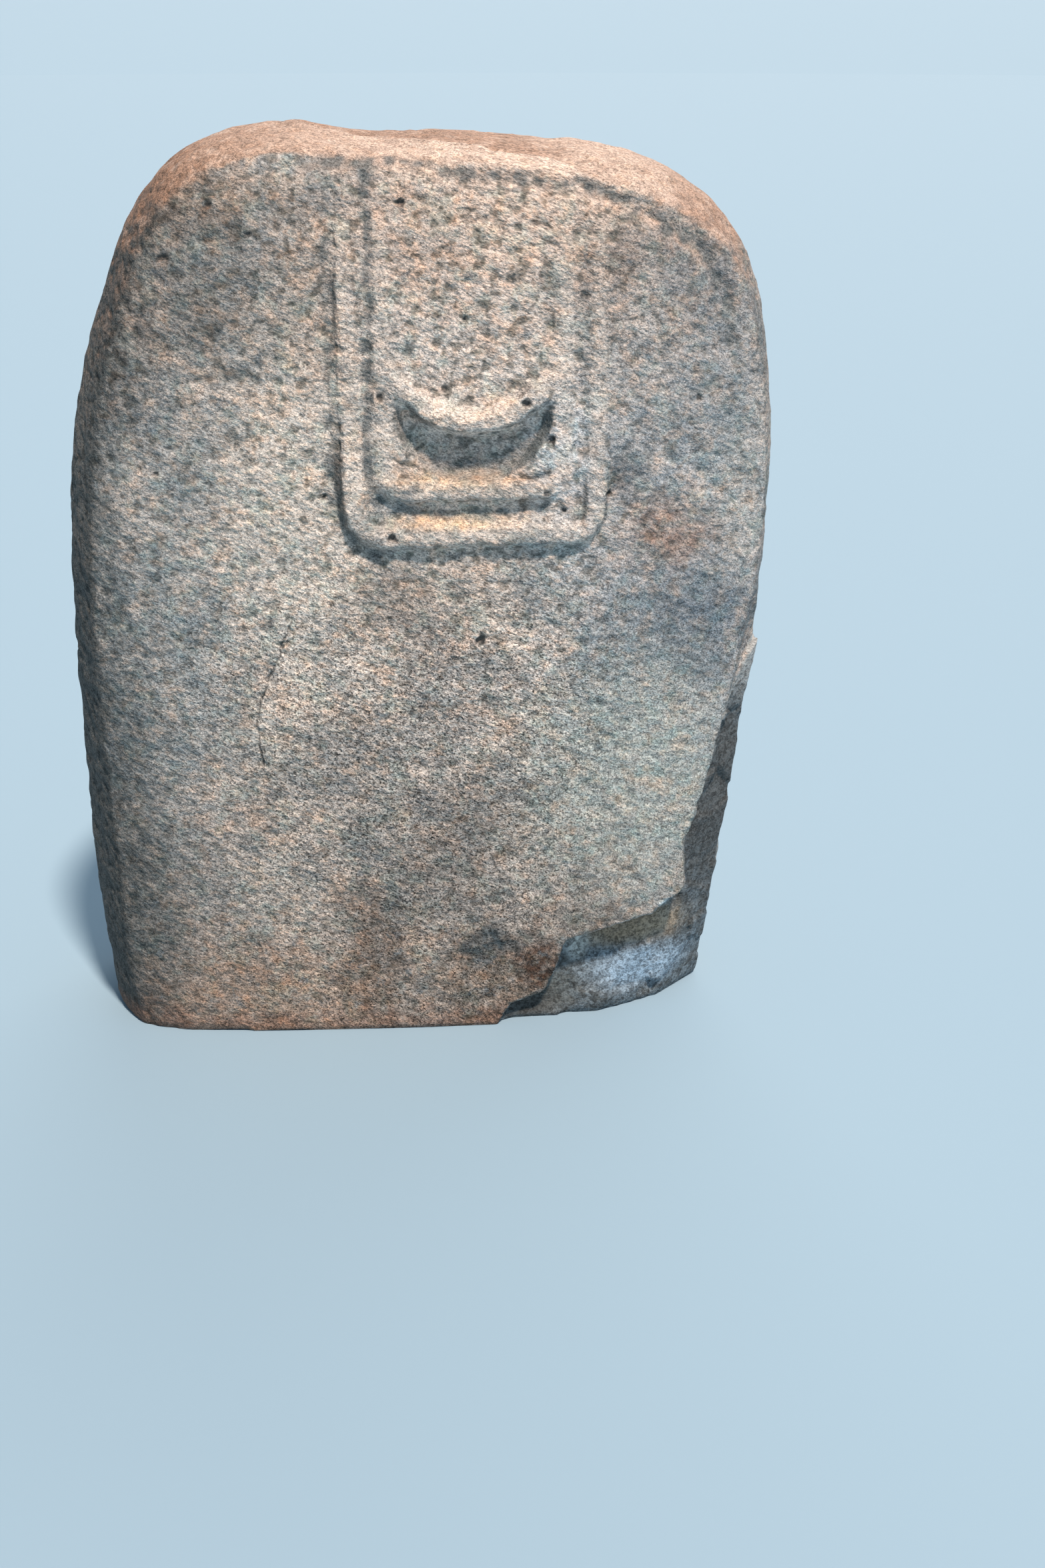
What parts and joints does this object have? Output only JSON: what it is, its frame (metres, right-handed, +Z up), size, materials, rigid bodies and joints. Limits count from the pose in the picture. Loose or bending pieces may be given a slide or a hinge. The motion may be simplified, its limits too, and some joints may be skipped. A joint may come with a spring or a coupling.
{
  "type": "statue menhir",
  "caption": "Upright carved granite slab with a rounded head, a low collar and nested square bands on its front, and a spalled lower corner; stands on its flat foot.",
  "frame": {"origin": "middle of the flat foot, under the centre of the stone's box", "axes": "+Z up, +X to the right seen from the front, and the carved front faces -Y"},
  "size_m": [0.9386, 0.3358, 1.2009],
  "materials": {
    "granite": "weathered, pecked and grainy, matt"
  },
  "bodies": {
    "root": {"stone": "granite"}
  },
  "joints": []
}
